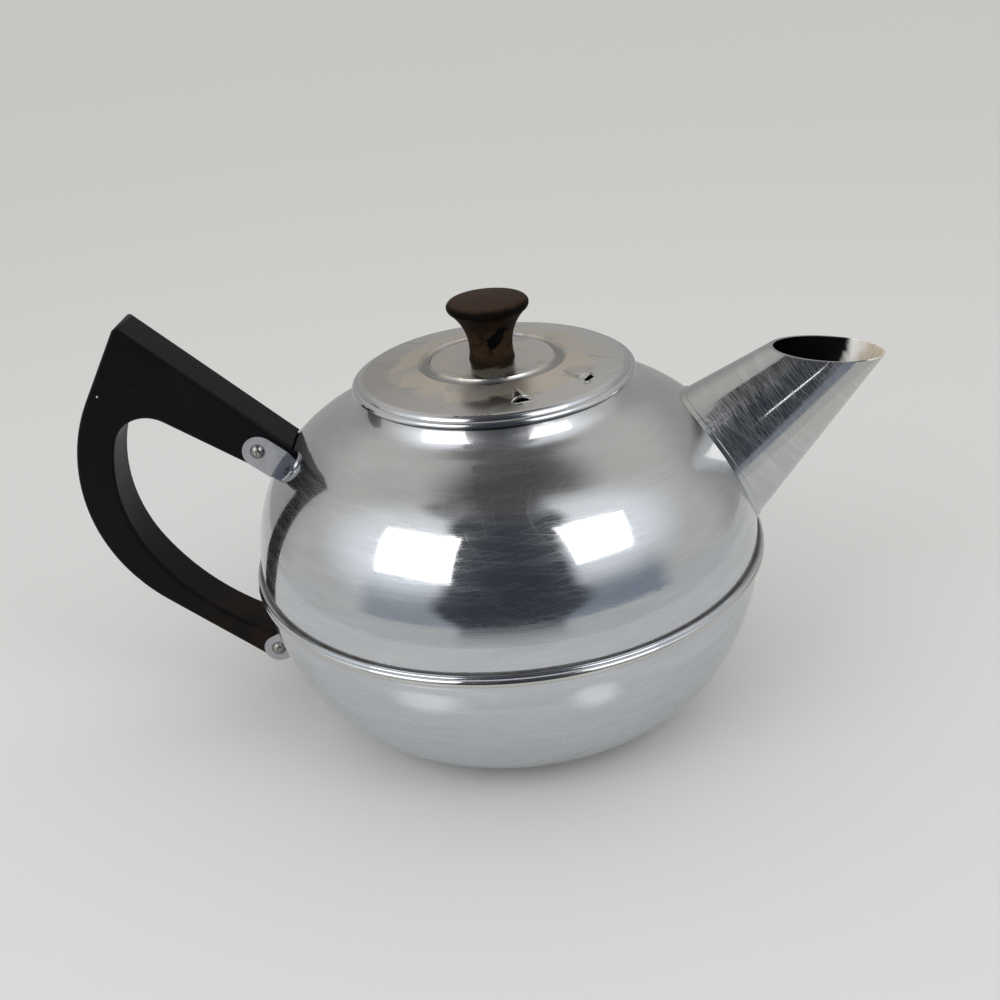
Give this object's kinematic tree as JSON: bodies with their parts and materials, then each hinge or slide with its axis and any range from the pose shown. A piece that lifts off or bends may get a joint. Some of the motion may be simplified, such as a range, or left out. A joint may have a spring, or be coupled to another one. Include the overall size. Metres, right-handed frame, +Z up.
{
  "type": "teapot",
  "caption": "Round chromed teapot with a lift-off vented lid and knob, a straight conical spout and a black moulded loop handle held by sheet metal tabs.",
  "frame": {"origin": "centre of the flat base, on the pot's axis", "axes": "+Z up along the pot's axis, +X towards the spout, the handle towards -X"},
  "size_m": [0.2398, 0.156, 0.1307],
  "materials": {
    "pot_chrome": "polished, with fine rubbing marks",
    "lid_metal": "satin, with brown stains",
    "tab_metal": "dull",
    "screw_steel": "dull",
    "insert_brass": "plain",
    "handle_black": "satin",
    "knob_brown": "satin"
  },
  "bodies": {
    "pot": {"upper_shell": "pot_chrome", "lower_shell": "pot_chrome", "spout": "pot_chrome", "handle": "handle_black", "upper_bracket_near": "tab_metal", "upper_bracket_far": "tab_metal", "lower_bracket_near": "tab_metal", "lower_bracket_far": "tab_metal", "upper_handle_screw": "screw_steel", "upper_handle_nut": "screw_steel", "lower_handle_screw": "screw_steel", "lower_handle_nut": "screw_steel"},
    "lid": {"lid_top": "lid_metal", "lid_skirt": "lid_metal", "knob": "knob_brown", "knob_insert": "insert_brass", "knob_screw": "screw_steel", "knob_washer": "screw_steel"}
  },
  "joints": [
    {"name": "lid_lift", "type": "slide", "parent": "pot", "child": "lid", "axis": [0, 0, 1], "range_m": [0, 0.06]}
  ]
}
